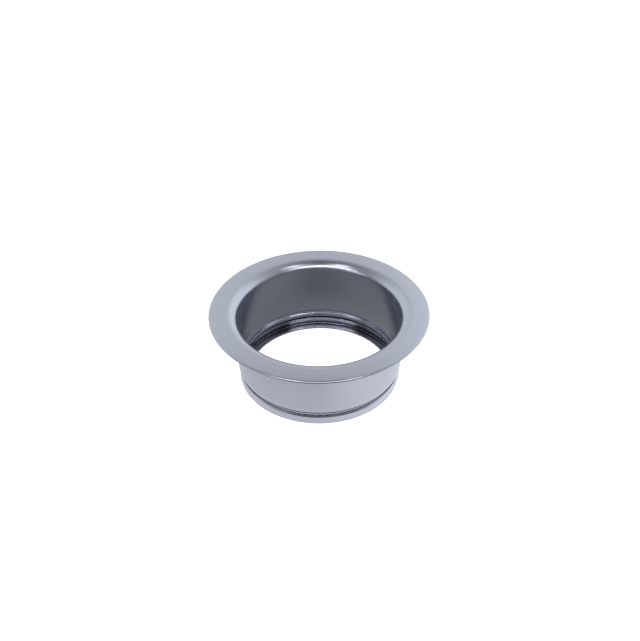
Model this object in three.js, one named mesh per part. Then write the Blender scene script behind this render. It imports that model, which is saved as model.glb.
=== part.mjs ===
// Sink flange of a kitchen waste disposer: a round steel ring that is let into the sink's drain hole.
// Its wide rim lies on the sink, its sleeve passes through the hole, and the disposer hangs from the
// groove near the sleeve's lower end. Every piece is a body of revolution about +Z.
// Millimetres, +Z up, origin at the centre of the foot, on the plane that the flange stands on.
import * as THREE from "three";

// ---- driving dimensions -------------------------------------------------------------------------

const HEIGHT = 41.2; // foot to the top of the rim
const RIM_R = 57.15; // the rim is 4 1/2 in across
const SLEEVE_R = 43.4; // outside of the sleeve, which clears a 3 1/2 in drain hole
const SHEET = 0.9; // thickness of the steel
const SEAT_HOLE_R = 37.8; // the hole through the ledge at the foot
const GAP = 0.3; // clearance kept between two pieces that touch

const EDGE_WIDTH = 1.1; // the rim's top rolls over towards its edge across this width
const EDGE_DROP = 0.45; // and by this height
const DOME_DROP = 0.25; // the rim's whole top also falls by this much, from the mouth to the edge
const MOUTH_REACH = 5.9; // the bend from the rim into the sleeve is a quarter of an ellipse this wide
const MOUTH_DEPTH = 4.1; // and this deep, on the side that shows

const NECK_TOP = 30.7; // below the rim's top, where the sleeve starts to narrow
const NECK_IN = 1.4; // how far it narrows
const NECK_ANGLE = THREE.MathUtils.degToRad(40); // its steepest slope
const NECK_BEND = 3.5; // bend radius at the top of the slope, on the bore side
const SLEEVE_LENGTH = 35.6; // the sleeve's cut end, below the rim's top

const LIP_R = 42.85; // outside of the foot ring, a little less than the sleeve's
const FOOT_TOP = 35.1; // the foot ring's upper edge, below the rim's top
const SHOULDER = 1.2; // height of its sloping shoulder, the groove's lower wall
const SOCKET_FLOOR = 36.5; // bottom of the socket that takes the sleeve's cut end
const FOOT_BEND = 1.9; // radius of its lower outside corner
const FOOT_INNER_BEND = 0.4; // radius of the corner between its bore and its ledge

const GASKET_INNER_R = 51;
const GASKET_OUTER_R = 55.5;
const GASKET_THICK = 1.6;

const TURN_STEPS = 72; // facets around each ring
const BORE_R = SLEEVE_R - SHEET;

// ---- helpers ------------------------------------------------------------------------------------

// Points of an arc in the radius-height plane, from one angle to another in degrees: 0 points away
// from the axis and 90 points up. The second radius makes it a stretch of an ellipse.
function arc(centreR, centreZ, radius, from, to, steps, radiusZ = radius) {
  return Array.from({ length: steps + 1 }, (_, i) => {
    const angle = THREE.MathUtils.degToRad(from + ((to - from) * i) / steps);
    return [centreR + radius * Math.cos(angle), centreZ + radiusZ * Math.sin(angle)];
  });
}

// A ring turned about +Z from a closed outline of [radius, height] points, listed so that the
// material is on the left of the walk. LatheGeometry turns about +Y, so the ring is stood up.
function turnedRing(name, outline, look) {
  const points = [...outline, outline[0]].map(([r, z]) => new THREE.Vector2(r, z));
  const geometry = new THREE.LatheGeometry(points, TURN_STEPS);
  geometry.rotateX(Math.PI / 2);
  const ring = new THREE.Mesh(geometry, new THREE.MeshStandardMaterial(look));
  ring.name = name;
  return ring;
}

const SATIN_STEEL = { color: 0xa2a8b4, roughness: 0.32, metalness: 1 };
const TURNED_STEEL = { color: 0xb7bcc8, roughness: 0.38, metalness: 1 };
const BLACK_RUBBER = { color: 0x1c1c1e, roughness: 0.85, metalness: 0 };

// ---- pieces -------------------------------------------------------------------------------------

// One face of the narrowing below the sleeve: an arc that leans in towards the axis, then one that
// turns upright again. Both faces of the sheet share the arcs' centres, so each is an offset of the
// other. shift is 0 on the bore side and the sheet's thickness on the outside.
function neckFace(shift) {
  const bends = NECK_IN / (1 - Math.cos(NECK_ANGLE));
  const upper = NECK_BEND + shift;
  const lower = bends - upper;
  const top = HEIGHT - NECK_TOP;
  const angle = THREE.MathUtils.radToDeg(NECK_ANGLE);
  const wall = BORE_R + shift;
  return [
    ...arc(wall - upper, top, upper, 0, -angle, 3),
    ...arc(wall - NECK_IN + lower, top - bends * Math.sin(NECK_ANGLE), lower, 180 - angle, 180, 3),
  ];
}

// The rim's top face, from its edge in to where the mouth's bend starts at bendR.
function rimFace(bendR) {
  const crown = RIM_R - EDGE_WIDTH;
  const edge = arc(crown, HEIGHT - EDGE_DROP, EDGE_WIDTH, 0, 90, 4, EDGE_DROP);
  const face = [2 / 3, 1 / 3].map((share) => [bendR + share * (crown - bendR), HEIGHT]);
  const dome = (r) => DOME_DROP * ((r - bendR) / (RIM_R - bendR)) ** 2;
  return [...edge, ...face].map(([r, z]) => [r, z - dome(r)]);
}

// Rim, rounded mouth, sleeve and its narrowed end, all pressed from one sheet.
function flangeShell() {
  const bendR = BORE_R + MOUTH_REACH;
  const bendZ = HEIGHT - MOUTH_DEPTH;
  const cutEnd = HEIGHT - SLEEVE_LENGTH;
  const neckR = BORE_R - NECK_IN;
  const topFace = [
    ...rimFace(bendR),
    ...arc(bendR, bendZ, MOUTH_REACH, 90, 180, 9, MOUTH_DEPTH),
    ...neckFace(0),
    [neckR, cutEnd],
  ];
  const underFace = [
    [neckR + SHEET, cutEnd],
    ...neckFace(SHEET).reverse(),
    ...arc(bendR, bendZ, MOUTH_REACH - SHEET, 180, 90, 7, MOUTH_DEPTH - SHEET),
    [RIM_R, HEIGHT - SHEET],
  ];
  return turnedRing("flange_shell", [...topFace, ...underFace], SATIN_STEEL);
}

// The ring that the sleeve's narrowed end is pressed into. Its shoulder is the lower wall of the
// mounting groove, and its foot turns in to a ledge around the outlet.
function footRing() {
  const top = HEIGHT - FOOT_TOP;
  const socketR = BORE_R - NECK_IN + SHEET + GAP;
  const socketFloor = HEIGHT - SOCKET_FLOOR;
  const boreR = LIP_R - SHEET;
  const outline = [
    [LIP_R, top - SHOULDER],
    [socketR, top],
    [socketR, socketFloor],
    [boreR, socketFloor],
    ...arc(boreR - FOOT_INNER_BEND, SHEET + FOOT_INNER_BEND, FOOT_INNER_BEND, 0, -90, 3),
    [SEAT_HOLE_R, SHEET],
    [SEAT_HOLE_R, 0],
    ...arc(LIP_R - FOOT_BEND, FOOT_BEND, FOOT_BEND, -90, 0, 5),
  ];
  return turnedRing("foot_ring", outline, TURNED_STEEL);
}

// Flat seal between the rim and the sink, out of sight under the rim.
function rimGasket() {
  const top = HEIGHT - SHEET - GAP;
  const outline = [
    [GASKET_OUTER_R, top],
    [GASKET_INNER_R, top],
    [GASKET_INNER_R, top - GASKET_THICK],
    [GASKET_OUTER_R, top - GASKET_THICK],
  ];
  return turnedRing("rim_gasket", outline, BLACK_RUBBER);
}

const flange = new THREE.Group();
flange.add(flangeShell(), footRing(), rimGasket());

export default flange;
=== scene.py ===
# %% [markdown]
# # A stainless sink flange for a waste disposer
# This ring is let into the drain hole of a kitchen sink, and the disposer hangs from its groove.
# It is made of three bodies of revolution: the pressed shell with its wide rim, the ring at its
# foot, and a rubber seal under the rim. The CAD model gives their places and sizes. Here each one
# is turned again with finer curves, and gets the finish that the real piece has. Lengths below are
# in millimetres until a mesh is made, because that is how such a part is drawn.

import math

import bpy
from mathutils import Euler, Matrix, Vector


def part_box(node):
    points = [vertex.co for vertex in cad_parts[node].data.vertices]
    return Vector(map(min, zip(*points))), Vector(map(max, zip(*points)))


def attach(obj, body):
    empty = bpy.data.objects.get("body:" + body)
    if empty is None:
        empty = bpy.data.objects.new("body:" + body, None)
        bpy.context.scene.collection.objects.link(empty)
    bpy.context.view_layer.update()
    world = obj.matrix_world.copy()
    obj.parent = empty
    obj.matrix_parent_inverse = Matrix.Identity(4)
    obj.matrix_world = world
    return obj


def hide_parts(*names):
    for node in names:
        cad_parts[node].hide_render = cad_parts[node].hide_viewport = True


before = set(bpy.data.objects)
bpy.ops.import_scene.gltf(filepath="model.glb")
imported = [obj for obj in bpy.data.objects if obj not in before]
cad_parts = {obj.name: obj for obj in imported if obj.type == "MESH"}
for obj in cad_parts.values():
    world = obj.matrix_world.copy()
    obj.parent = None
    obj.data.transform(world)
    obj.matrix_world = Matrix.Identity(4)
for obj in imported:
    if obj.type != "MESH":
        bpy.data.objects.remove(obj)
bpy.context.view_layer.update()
MM = 0.001
print("CAD nodes:", sorted(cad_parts))

# %% [markdown]
# ## Three small helpers
# Colours are written as sRGB hex, as a paint chart gives them, and Blender's shaders want linear
# light, so one function turns them. A material is a small graph: one function starts it empty, and
# one adds any node with its settings and its links, which keeps each graph readable as a list.


# %% Colours and nodes
def linear(hex_colour):
    channels = [int(hex_colour[i : i + 2], 16) / 255 for i in (1, 3, 5)]
    bright = [c / 12.92 if c <= 0.04045 else ((c + 0.055) / 1.055) ** 2.4 for c in channels]
    return (*bright, 1.0)


def add(tree, kind, settings=None, *values, **inputs):
    """Adds a node. The values fill its first sockets, in order. The inputs go by the socket's name,
    lower case with _ for a space, or by number as _6. Each is a plain value, another node's output,
    or a whole node, which stands for its first output."""
    node = tree.nodes.new(kind)
    for name, value in (settings or {}).items():
        setattr(node, name, value)
    wanted = [(node.inputs[place], value) for place, value in enumerate(values)]
    for name, value in inputs.items():
        if name[0] == "_":
            socket = node.inputs[int(name[1:])]
        else:
            socket = next(s for s in node.inputs if s.name.lower().replace(" ", "_") == name)
        wanted.append((socket, value))
    for socket, value in wanted:
        if isinstance(value, bpy.types.Node):
            value = value.outputs[0]
        if isinstance(value, bpy.types.NodeSocket):
            tree.links.new(value, socket)
        else:
            socket.default_value = value
    return node


def new_material(name):
    material = bpy.data.materials.new(name)
    material.use_nodes = True
    material.node_tree.nodes.clear()
    return material, material.node_tree


print("mid grey #808080 is", round(linear("#808080")[0], 3), "in linear light")

# %% [markdown]
# ## Coordinates that follow the brushing
# The flange is finished while it spins: the abrasive belt is held against it, so every scratch
# runs around the axis. A stretched image texture would need UVs and would show a seam. Instead the
# pattern is looked up by the direction from the axis, which has no seam, and by radius plus
# height, which falls steadily all the way from the rim's edge, round the bend and down the sleeve.
# That second number is the way across the scratches, so noise squeezed along it gives long thin
# lines.


# %% Lay of the scratches
def from_axis(tree):
    """Distance from the axis, direction away from it, and height, in metres."""
    place = add(tree, "ShaderNodeTexCoord").outputs["Object"]
    flat = add(tree, "ShaderNodeVectorMath", {"operation": "MULTIPLY"}, place, (1, 1, 0))
    radius = add(tree, "ShaderNodeVectorMath", {"operation": "LENGTH"}, flat)
    way = add(tree, "ShaderNodeVectorMath", {"operation": "NORMALIZE"}, flat)
    height = add(tree, "ShaderNodeSeparateXYZ", None, place)
    return radius.outputs["Value"], way, height.outputs["Z"]


def around_axis(tree, spacing_mm, turns):
    """A lookup vector: cells spacing_mm wide across the lay, and about 6 x turns of them around."""
    radius, way, height = from_axis(tree)
    across = add(tree, "ShaderNodeMath", {"operation": "ADD"}, radius, height)
    cells = add(tree, "ShaderNodeMath", {"operation": "DIVIDE"}, across, spacing_mm * MM)
    lift = add(tree, "ShaderNodeCombineXYZ", z=cells)
    ring = add(tree, "ShaderNodeVectorMath", {"operation": "SCALE"}, way, scale=turns)
    return add(tree, "ShaderNodeVectorMath", {"operation": "ADD"}, ring, lift)


GRAIN_TURNS, BAND_TURNS, BAND_MM = 7.0, 1.1, 1.6
print("scratches on the rim are about", round(2 * math.pi * 52 / (6 * GRAIN_TURNS), 1), "mm long")

# %% [markdown]
# ## Brushed stainless steel
# The shell is 304 stainless, pressed from sheet and brushed to a satin. Brushing does three things:
# it makes the gloss rougher across the lines than along them, it leaves shallow grooves, and it
# varies in strength, which is a slow change in roughness. The real scratches are about 0.05 mm
# apart. They are drawn 0.25 mm apart, with slower bands 1.6 mm apart, so that some of them show.
# Smudges from handling, about 18 mm across, add their own roughness. The belt doesn't reach the
# narrowed end, so below 11 mm the steel keeps the smoother face of the sheet.

# %% Marks of the belt
BELT_FROM, BELT_TO = 11, 12.5  # heights between which the belt begins to bear
SMUDGE_MM = 18
SMUDGE_EDGE = (0.5, 0.72)  # levels of the noise between which a smudge fades in


def belt_marks(tree, grain_mm, uneven, smooth_low, rough):
    """The fine lines, the slow bands, and the roughness that they and the smudges add up to."""
    place = add(tree, "ShaderNodeTexCoord").outputs["Object"]
    patterns = (  # where it is looked up, and its scale, detail and gain from octave to octave
        (around_axis(tree, grain_mm, GRAIN_TURNS), 1.0, 3.0, 0.6),
        (around_axis(tree, BAND_MM, BAND_TURNS), 1.0, 2.0, 0.5),
        (place, 1 / (SMUDGE_MM * MM), 4.0, 0.55),
    )
    grain, bands, smudges = (
        add(tree, "ShaderNodeTexNoise", vector=where, scale=scale, detail=detail, roughness=gain)
        for where, scale, detail, gain in patterns
    )
    smooth = {"interpolation_type": "SMOOTHSTEP"}
    marks = add(tree, "ShaderNodeMapRange", smooth, smudges, *SMUDGE_EDGE)
    height = from_axis(tree)[2]
    belt = (BELT_FROM * MM, BELT_TO * MM)
    roughness = add(tree, "ShaderNodeMapRange", None, height, *belt, smooth_low, rough)
    # each pushes the roughness a little either way from its mean
    for source, amount in ((grain, 0.5 * uneven), (bands, uneven), (marks, 0.35 * uneven)):
        spread = (amount, -amount / 2)
        push = add(tree, "ShaderNodeMath", {"operation": "MULTIPLY_ADD"}, source, *spread)
        roughness = add(tree, "ShaderNodeMath", {"operation": "ADD"}, roughness, push)
    return grain, bands, roughness


print("the belt begins to bear between", BELT_FROM, "and", BELT_TO, "mm above the foot")

# %% [markdown]
# ## Painted shade in the corners
# The steel's colour is darkened in its corners and hollows: this is painted shade. It could be
# painted as rings at known heights. Ambient occlusion finds the same places by itself: a point with
# less open space around it gets a darker colour, in the groove and where the ledge meets the bore.
# The seam between shell and foot ring is too shallow for that, so a painted shadow line is given
# there by its height, on the bore side only.

# %% Painted shade in the corners
UNSHADED_FROM = 0.92  # open share from which no shade is painted
DEEPEST_SHADE, SEAM_SHADE = 0.12, 0.03  # share of the colour left where the painted shade is darkest, in corners and at the seam
SEAM_Z = 5.8  # the shell's cut end, seen from the bore
SEAM_BLACK, SEAM_UNSHADED = 0.6, 1.0  # distances from it at which the painted shadow is darkest and where it ends
BORE_SIDE_R = 41.975  # nearer the axis than this is the bore side


def painted_shade(tree, own_piece_only, reach_mm, darkest_at):
    """Share of the steel's colour left by the painted shade. darkest_at: open share shaded most."""
    open_air = add(
        tree,
        "ShaderNodeAmbientOcclusion",
        {"samples": 16, "only_local": own_piece_only},
        distance=reach_mm * MM,
    ).outputs["AO"]
    corner_shade = (darkest_at, UNSHADED_FROM, DEEPEST_SHADE, 1.0)
    lit_share = add(tree, "ShaderNodeMapRange", None, open_air, *corner_shade)
    radius, _, height = from_axis(tree)
    # painted shadow: a dark line at the seam's height on the bore side, where shade falls in the
    # gap
    above = add(tree, "ShaderNodeMath", {"operation": "SUBTRACT"}, height, SEAM_Z * MM)
    off = add(tree, "ShaderNodeMath", {"operation": "ABSOLUTE"}, above)
    painted_shadow = (SEAM_BLACK * MM, SEAM_UNSHADED * MM, SEAM_SHADE, 1.0)
    line = add(tree, "ShaderNodeMapRange", None, off, *painted_shadow)
    outside = add(tree, "ShaderNodeMath", {"operation": "GREATER_THAN"}, radius, BORE_SIDE_R * MM)
    seam = add(tree, "ShaderNodeMath", {"operation": "MAXIMUM"}, line, outside)
    return add(tree, "ShaderNodeMath", {"operation": "MULTIPLY"}, lit_share, seam)


print("the seam is", SEAM_Z, "mm above the foot, and its dirt is", 2 * SEAM_BLACK, "mm wide")

# %% [markdown]
# ## Two steels
# Bare metal takes its colour from what it reflects, so metallic is 1 and the base colour is the
# steel's own slightly cool grey. The direction of the brushing is anisotropy, with the tangent laid
# around the axis, and the fine lines are a bump of a micrometre or two. The foot ring was skimmed
# on a lathe: it is lighter and smoother, and its lines are shallower and a little further apart.

# %% Steels
UM = 1e-6
MOST_WEAR = 0.6  # share of the wear colour where the bands are strongest


def brushed_steel(name, colour, wear_colour, grain_mm, groove_um, uneven, smooth_low, rough, corner_shade):
    material, tree = new_material(name)
    grain, bands, roughness = belt_marks(tree, grain_mm, uneven, smooth_low, rough)
    wear = add(tree, "ShaderNodeMath", {"operation": "MULTIPLY"}, bands, MOST_WEAR)
    colours = {"_6": linear(colour), "_7": linear(wear_colour)}
    tone = add(tree, "ShaderNodeMix", {"data_type": "RGBA"}, wear, **colours).outputs[2]
    # painted shade: the steel's colour is darkened in its shaded corners and at the seam
    left = painted_shade(tree, **corner_shade)
    shader = add(
        tree,
        "ShaderNodeBsdfPrincipled",
        base_color=add(tree, "ShaderNodeVectorMath", {"operation": "SCALE"}, tone, scale=left),
        metallic=1.0,
        roughness=roughness,
        anisotropic=0.45,
        anisotropic_rotation=0.25,
        normal=add(tree, "ShaderNodeBump", distance=groove_um * UM, strength=1.0, height=grain),
        tangent=add(tree, "ShaderNodeTangent", {"direction_type": "RADIAL", "axis": "Z"}),
    )
    add(tree, "ShaderNodeOutputMaterial", surface=shader)
    return material


SATIN_STAINLESS = brushed_steel(
    "satin_brushed_stainless_304",
    "#c6cbd8",
    "#b9beca",
    grain_mm=0.25,
    groove_um=1.5,
    uneven=0.07,
    smooth_low=0.14,
    rough=0.30,
    corner_shade={"own_piece_only": False, "reach_mm": 3, "darkest_at": 0.4},
)
TURNED_STAINLESS = brushed_steel(
    "fine_turned_stainless_304",
    "#cfd1e0",
    "#bfc2d0",
    grain_mm=0.35,
    groove_um=1.2,
    uneven=0.04,
    smooth_low=0.20,
    rough=0.20,
    corner_shade={"own_piece_only": True, "reach_mm": 8, "darkest_at": 0.59},  # the floor is no neighbour
)
print("made", SATIN_STAINLESS.name, "and", TURNED_STAINLESS.name)

# %% [markdown]
# ## Black nitrile rubber
# The seal is moulded rubber, which is matt, dark grey rather than black, and finely grained from
# its mould. It isn't a metal: its colour is its own, and its weak gloss comes from the usual 1.5
# IOR.

# %% Rubber
RUBBER, tree = new_material("moulded_nitrile_rubber")
SKIN_MM, SKIN_DEPTH_MM = 0.4, 0.03
place = add(tree, "ShaderNodeTexCoord").outputs["Object"]
skin = add(
    tree, "ShaderNodeTexNoise", vector=place, scale=1 / (SKIN_MM * MM), detail=3.0, roughness=0.5
)
colours = {"_6": linear("#1b1b1d"), "_7": linear("#2b2b2e")}
shader = add(
    tree,
    "ShaderNodeBsdfPrincipled",
    base_color=add(tree, "ShaderNodeMix", {"data_type": "RGBA"}, skin, **colours).outputs[2],
    roughness=0.78,
    ior=1.5,
    normal=add(tree, "ShaderNodeBump", distance=SKIN_DEPTH_MM * MM, strength=0.5, height=skin),
)
add(tree, "ShaderNodeOutputMaterial", surface=shader)
print("made", RUBBER.name, "with a grain of", SKIN_MM, "mm")

# %% [markdown]
# ## Turning a ring
# All three pieces are bodies of revolution, so each is one closed outline of radius and height,
# swept around the axis. Blender's Screw modifier could do it, but a mesh written directly gives
# exact control of the points. Smooth shading averages the normals at a vertex, and a long flat
# strip next to a tight bend would look pillowy, so long stretches get an extra point close to each
# of their ends.

# %% Outline and lathe
AROUND = 288  # divisible by 4, so that the widest points lie on the axes as the CAD's do
HOLD = 0.12  # distance from a bend to the extra point
LONG = 0.3  # length of a stretch from which it gets the extra points


def arc(centre_r, centre_z, radius, start, end, steps, radius_z=None):
    """Points of an arc in the radius-height plane. 0 degrees is outwards and 90 is up."""
    tall = radius if radius_z is None else radius_z
    angles = [math.radians(start + (end - start) * i / steps) for i in range(steps + 1)]
    return [(centre_r + radius * math.cos(a), centre_z + tall * math.sin(a)) for a in angles]


def with_holding_points(outline):
    points = []
    for (r0, z0), (r1, z1) in zip(outline, outline[1:] + outline[:1]):
        length = math.hypot(r1 - r0, z1 - z0)
        points.append((r0, z0))
        if length > LONG:
            for share in (HOLD / length, 1 - HOLD / length):
                points.append((r0 + (r1 - r0) * share, z0 + (z1 - z0) * share))
    return points


def turned_ring(name, outline, material):
    points = with_holding_points(outline)
    count = len(points)
    vertices = [
        (r * MM * math.cos(a), r * MM * math.sin(a), z * MM)
        for a in (2 * math.pi * k / AROUND for k in range(AROUND))
        for r, z in points
    ]
    faces = []
    for k in range(AROUND):
        here, there = k * count, (k + 1) % AROUND * count
        for i in range(count):
            j = (i + 1) % count
            faces.append((here + i, there + i, there + j, here + j))
    mesh = bpy.data.meshes.new(name)
    mesh.from_pydata(vertices, [], faces)
    mesh.polygons.foreach_set("use_smooth", [True] * len(faces))
    mesh.materials.append(material)
    mesh.update()
    ring = bpy.data.objects.new(name, mesh)
    bpy.context.scene.collection.objects.link(ring)
    print(name, "has", count, "points in its outline and", len(faces), "faces")
    return ring


def stand_in(ring, node):
    """The ring takes the place of a CAD node and moves with the body."""
    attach(ring, "root")
    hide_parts(node)
    low, high = (list(corner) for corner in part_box(node))
    mine = [[f(v.co[i] for v in ring.data.vertices) for i in range(3)] for f in (min, max)]
    over = max(max(l - a, b - h) for l, h, a, b in zip(low, high, *mine))
    print(ring.name, "stands out of its CAD box by", round(over / MM, 4), "mm")


# %% [markdown]
# ## The pressed shell
# One disc of 0.9 mm sheet is drawn down into a cup, its bottom is cut out, and its lower end is
# necked in a little. That end sits in the foot ring, and the slope above it is the upper side of
# the groove that the mounting snap ring clips into. The sheet keeps its thickness through every
# bend, so the two faces of a bend share a centre. Cut edges are slightly rounded by tumbling.

# %% Shell
HEIGHT = 41.2
RIM_R, SLEEVE_R, SHEET = 57.15, 43.4, 0.9
BORE_R = SLEEVE_R - SHEET
EDGE_WIDTH, EDGE_DROP, DOME_DROP = 1.1, 0.45, 0.25
MOUTH_REACH, MOUTH_DEPTH = 5.9, 4.1
NECK_Z, NECK_IN, NECK_ANGLE, NECK_BEND = HEIGHT - 30.7, 1.4, 40.0, 3.5
CUT_END = HEIGHT - 35.6
BURR = 0.12  # radius left on a cut edge
RIM_BREAK = 0.1  # taken off the rim's lower edge


def neck_face(shift):
    """The narrowing, from the top down. shift is 0 on the bore side, the sheet on the outside."""
    bends = NECK_IN / (1 - math.cos(math.radians(NECK_ANGLE)))
    upper, wall = NECK_BEND + shift, BORE_R + shift
    lower = bends - upper
    lower_z = NECK_Z - bends * math.sin(math.radians(NECK_ANGLE))
    return [
        *arc(wall - upper, NECK_Z, upper, 0, -NECK_ANGLE, 8),
        *arc(wall - NECK_IN + lower, lower_z, lower, 180 - NECK_ANGLE, 180, 8)[1:],
    ]


bend_r, bend_z, neck_r = BORE_R + MOUTH_REACH, HEIGHT - MOUTH_DEPTH, BORE_R - NECK_IN


def rim_face():
    """The rim's top from its edge inwards: rolled over at the edge, and slightly domed all over."""
    crown = RIM_R - EDGE_WIDTH
    edge = arc(crown, HEIGHT - EDGE_DROP, EDGE_WIDTH, 0, 90, 14, EDGE_DROP)
    face = [(bend_r + share / 12 * (crown - bend_r), HEIGHT) for share in range(11, 0, -1)]
    return [(r, z - DOME_DROP * ((r - bend_r) / (RIM_R - bend_r)) ** 2) for r, z in edge + face]


shell_outline = [
    *rim_face(),
    *arc(bend_r, bend_z, MOUTH_REACH, 90, 180, 40, MOUTH_DEPTH),
    *neck_face(0),
    *arc(neck_r + BURR, CUT_END + BURR, BURR, 180, 270, 4),
    *arc(neck_r + SHEET - BURR, CUT_END + BURR, BURR, 270, 360, 4),
    *reversed(neck_face(SHEET)),
    *arc(bend_r, bend_z, MOUTH_REACH - SHEET, 180, 90, 24, MOUTH_DEPTH - SHEET),
    (RIM_R - RIM_BREAK, HEIGHT - SHEET),
]
shell = turned_ring("flange_shell_satin", shell_outline, SATIN_STAINLESS)
stand_in(shell, "flange_shell")

# %% [markdown]
# ## The foot ring
# The lower ring holds the shell's end in a shallow socket. Its sloping shoulder is the lower side
# of the snap ring's groove, its outside is a plain lip, a little narrower than the sleeve, and its
# foot turns in to a ledge around the outlet. It is a separate pressing that was skimmed on a lathe,
# so it is a shade lighter and its edges are crisp, with only 0.14 mm taken off each corner.

# %% Foot ring
LIP_R, SHOULDER, FOOT_BEND, INNER_BEND, GAP = 42.85, 1.2, 1.9, 0.4, 0.3
OUTLET_R, CRISP = 37.8, 0.14
foot_top = HEIGHT - 35.1
socket_r, socket_z = neck_r + SHEET + GAP, HEIGHT - 36.5
lip_bore_r = LIP_R - SHEET


def eased(points, radius):
    """The same points, with each corner between the ends replaced by a small curve."""
    made = [points[0]]
    for before, corner, after in zip(points, points[1:], points[2:]):
        ends = []
        for other in (before, after):
            gap = math.dist(corner, other)
            share = min(radius, gap / 3) / gap
            ends.append([c + (o - c) * share for c, o in zip(corner, other)])
        for u in (0, 0.25, 0.5, 0.75, 1):
            shares = ((1 - u) ** 2, 2 * u * (1 - u), u * u)
            curve = zip(ends[0], corner, ends[1])
            made.append(tuple(sum(w * v for w, v in zip(shares, trio)) for trio in curve))
    return made + [points[-1]]


foot_outline = [
    *eased(
        [
            (LIP_R, foot_top - SHOULDER - 0.6),
            (LIP_R, foot_top - SHOULDER),
            (socket_r, foot_top),
            (socket_r, socket_z),
            (lip_bore_r, socket_z),
            (lip_bore_r, SHEET + INNER_BEND + 0.3),
        ],
        CRISP,
    ),
    *arc(lip_bore_r - INNER_BEND, SHEET + INNER_BEND, INNER_BEND, 0, -90, 8),
    *arc(OUTLET_R + BURR, SHEET - BURR, BURR, 90, 180, 4),
    *arc(OUTLET_R + BURR, BURR, BURR, 180, 270, 4),
    *arc(LIP_R - FOOT_BEND, FOOT_BEND, FOOT_BEND, -90, 0, 12),
]
foot = turned_ring("foot_ring_turned", foot_outline, TURNED_STAINLESS)
stand_in(foot, "foot_ring")

# %% [markdown]
# ## The rim's seal
# A flat rubber ring lies between the rim and the sink. It is a plain washer shape with edges
# rounded by its mould, so the same lathe makes it.

# %% Gasket
GASKET_IN, GASKET_OUT, GASKET_TOP, GASKET_LOW = 51.0, 55.5, HEIGHT - 1.2, HEIGHT - 2.8
soft = 0.25  # radius of its edges
gasket_outline = [
    *arc(GASKET_OUT - soft, GASKET_TOP - soft, soft, 0, 90, 4),
    *arc(GASKET_IN + soft, GASKET_TOP - soft, soft, 90, 180, 4),
    *arc(GASKET_IN + soft, GASKET_LOW + soft, soft, 180, 270, 4),
    *arc(GASKET_OUT - soft, GASKET_LOW + soft, soft, 270, 360, 4),
]
gasket = turned_ring("rim_gasket_moulded", gasket_outline, RUBBER)
stand_in(gasket, "rim_gasket")

# %% [markdown]
# ## Floor
# A product shot of bare steel is made of what the steel sees. The floor is a plain white sweep,
# lit from above and glowing a little, so that it stays white up to the foot. Steel near the floor
# would mirror every bit of it, and studios lay white and grey cards around such a piece to shape
# that. Here one flat card does it. It shows in reflections only, white around the foot and dark
# inside the throat, where little light comes down, and it is drawn as rings of its own brightness.
# It is brighter on the right, and has a dip in the middle, where the viewer's own shadow falls.
# A round white wall far outside closes the picture for low views. Only the camera sees it.

# %% Floor and reflection card
SWEEP, WALL_R = 12, 5  # metres; the wall stands on the sweep
RINGS = (  # distance from the axis as a share of 100 mm, and brightness
    (0.0, 0.04),
    (0.16, 0.19),
    (0.24, 0.23),
    (0.32, 0.23),
    (0.42, 0.32),
    (0.43, 0.77),
    (0.8, 0.70),
)

bpy.ops.mesh.primitive_plane_add(size=SWEEP, location=(0, 0, -0.2 * MM))
floor = bpy.context.object
floor.name = "studio_floor"
material, tree = new_material("white_studio_sweep")
shader = add(
    tree,
    "ShaderNodeBsdfPrincipled",
    base_color=linear("#e6e6e6"),
    roughness=0.9,
    emission_color=(1, 1, 1, 1),
    emission_strength=0.95,
)
add(tree, "ShaderNodeOutputMaterial", surface=shader)
floor.data.materials.append(material)
floor.visible_glossy = False

bpy.ops.mesh.primitive_plane_add(size=SWEEP, location=(0, 0, -0.1 * MM))
card = bpy.context.object
card.name = "reflection_card"
material, tree = new_material("graded_card")
place = add(tree, "ShaderNodeTexCoord").outputs["Object"]
radius = add(tree, "ShaderNodeVectorMath", {"operation": "LENGTH"}, place).outputs["Value"]
share = add(tree, "ShaderNodeMapRange", None, radius, 0.0, 100 * MM)
ramp = add(tree, "ShaderNodeValToRGB", None, share)
while len(ramp.color_ramp.elements) < len(RINGS):
    ramp.color_ramp.elements.new(0.5)
for element, (position, level) in zip(ramp.color_ramp.elements, RINGS):
    element.position = position
    element.color = (level, level, level, 1)
across = add(tree, "ShaderNodeSeparateXYZ", None, place).outputs["X"]
aside = add(tree, "ShaderNodeMath", {"operation": "ABSOLUTE"}, across)
side, dip = (
    add(tree, "ShaderNodeMapRange", {"interpolation_type": "SMOOTHSTEP"}, *limits)
    for limits in ((across, -60 * MM, 60 * MM, 0.96, 1.26), (aside, 0.0, 45 * MM, 0.88, 1.0))
)
level = add(tree, "ShaderNodeMath", {"operation": "MULTIPLY"}, side, dip)
glow = add(tree, "ShaderNodeEmission", color=ramp, strength=level)
add(tree, "ShaderNodeOutputMaterial", surface=glow)
card.data.materials.append(material)
card.visible_camera = card.visible_diffuse = card.visible_shadow = False

bpy.ops.mesh.primitive_uv_sphere_add(segments=48, ring_count=24, radius=WALL_R)
wall = bpy.context.object
wall.name = "studio_wall"
material, tree = new_material("white_backdrop")
glow = add(tree, "ShaderNodeEmission", strength=1.0)
add(tree, "ShaderNodeOutputMaterial", surface=glow)
wall.data.materials.append(material)
wall.visible_glossy = wall.visible_diffuse = wall.visible_shadow = False
print("floor and card are", round(floor.dimensions.x, 1), "m across")

# %% [markdown]
# ## Light
# The room around the table is a soft wash: pale behind the flange, which is what the flat rim
# mirrors, darker overhead and dark on the viewer's side, as a studio is. A long flat panel hangs
# over the viewer: it draws the bright arc in the bend of the mouth and the thin line on the front
# edge. Two low boxes, the key on the left and a weaker fill on the right, light the sleeve's sides,
# and two small lamps high up leave a short gleam at each end of the arc.

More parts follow.
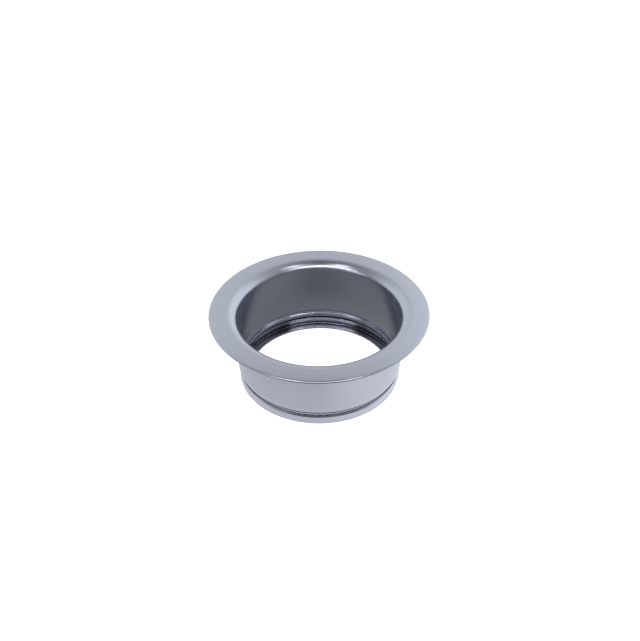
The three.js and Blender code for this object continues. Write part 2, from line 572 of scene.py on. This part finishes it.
# %% Room and soft boxes
world = bpy.data.worlds.new("studio_room")
bpy.context.scene.world = world
world.use_nodes = True
tree = world.node_tree
tree.nodes.clear()
look = add(tree, "ShaderNodeTexCoord").outputs["Generated"]
way = add(tree, "ShaderNodeSeparateXYZ", None, look)
FADES = (  # axis of the direction, where the fade starts and ends on it, and its two levels
    ("Y", -0.55, 0.35, 0.08, 1.0, "SMOOTHSTEP"),  # dark behind the viewer
    ("Z", 0.66, 1.0, 0.715, 0.06, "LINEAR"),  # dark overhead
    ("X", 0.0, 0.27, 1.0, 1.50, "SMOOTHSTEP"),  # brighter to the right
    ("X", -0.27, 0.0, 1.20, 1.0, "SMOOTHSTEP"),  # and a little to the left
)
strength = 1.0
for axis, *limits, how in FADES:
    fade = {"interpolation_type": how}
    level = add(tree, "ShaderNodeMapRange", fade, way.outputs[axis], *limits)
    strength = add(tree, "ShaderNodeMath", {"operation": "MULTIPLY"}, strength, level)
wash = add(tree, "ShaderNodeBackground", color=linear("#fcfdff"), strength=strength)
add(tree, "ShaderNodeOutputWorld", surface=wash)


def soft_box(name, azimuth, elevation, distance, size, radiance):
    """An area light aimed at the flange. Azimuth 0 is the viewer's side and 90 the right."""
    a, e = math.radians(azimuth), math.radians(elevation)
    out = Vector((math.sin(a) * math.cos(e), -math.cos(a) * math.cos(e), math.sin(e)))
    light = bpy.data.lights.new(name, "AREA")
    light.shape, (light.size, light.size_y) = "ELLIPSE", size
    light.energy = radiance * math.pi * size[0] * size[1] * math.pi / 4
    lamp = bpy.data.objects.new(name, light)
    lamp.location = out * distance
    lamp.rotation_euler = out.to_track_quat("Z", "Y").to_euler()
    bpy.context.scene.collection.objects.link(lamp)
    where = [round(v, 2) for v in lamp.location]
    print(name, "stands at", where, "m, with", round(light.energy, 1), "W")


soft_box("panel_over_viewer", -6, 50, 1.2, (1.9, 0.34), 4.3)
soft_box("key_low_left", -50, 19, 1.2, (0.7, 0.50), 0.95)
soft_box("fill_low_right", 62, 24, 1.2, (0.8, 0.35), 0.4)
soft_box("lamp_left", -60, 72, 1.05, (0.2, 0.10), 11.0)
soft_box("lamp_right", 67, 72, 1.05, (0.2, 0.10), 11.0)

# %% [markdown]
# ## Camera
# The view is from the front and about 37 degrees above, half a metre away, with a 54 mm lens on a
# 36 mm sensor. A hand-held camera is never quite level, and this one leans by 0.6 degrees.

# %% Camera
camera = bpy.data.objects.new("camera", bpy.data.cameras.new("camera"))
camera.data.lens = 54.3
camera.data.sensor_width = 36
camera.data.clip_start, camera.data.clip_end = 0.01, 50
TILT, LEAN = 37.04, -0.60
camera.location = Vector((0.45, -402.5, 337.9)) * MM
camera.rotation_euler = Euler((math.radians(90 - TILT), 0, 0), "XYZ")
camera.rotation_euler.rotate_axis("Z", math.radians(LEAN))
bpy.context.scene.collection.objects.link(camera)
bpy.context.scene.camera = camera
bpy.context.scene.view_settings.view_transform = "Standard"
print("camera is", round(camera.location.length, 3), "m from the foot")
